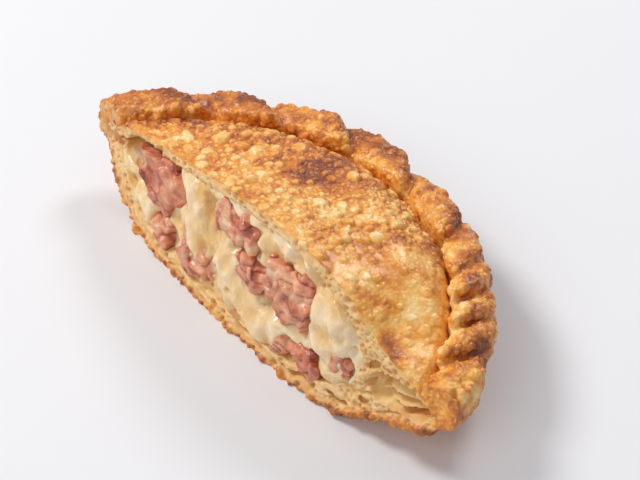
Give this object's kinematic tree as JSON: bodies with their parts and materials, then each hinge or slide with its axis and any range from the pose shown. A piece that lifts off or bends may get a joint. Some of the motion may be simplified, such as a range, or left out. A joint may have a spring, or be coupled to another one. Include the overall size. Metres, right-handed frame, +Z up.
{
  "type": "empanada",
  "caption": "Half of a fried empanada, cut across, with a puffed blistered crust, a twisted rope edge, and melted cheese and cooked ham showing at the cut.",
  "frame": {"origin": "on the table, under the middle of the piece's bounding box", "axes": "+X along the cut, with the shallower end at -X; +Y from the cut towards the rope edge; +Z up"},
  "size_m": [0.1244, 0.052, 0.0316],
  "materials": {
    "crust": "fried wheat dough, golden with browned patches and pale blisters, a faint sheen of oil",
    "cheese": "melted pale yellow cheese, soft and shiny",
    "ham": "chopped cooked ham, pink, moist and fibrous"
  },
  "bodies": {
    "root": {"crust": "crust", "cheese": "cheese", "ham_1": "ham", "ham_2": "ham", "ham_3": "ham", "ham_4": "ham", "ham_5": "ham", "ham_6": "ham", "ham_7": "ham", "ham_8": "ham"}
  },
  "joints": []
}
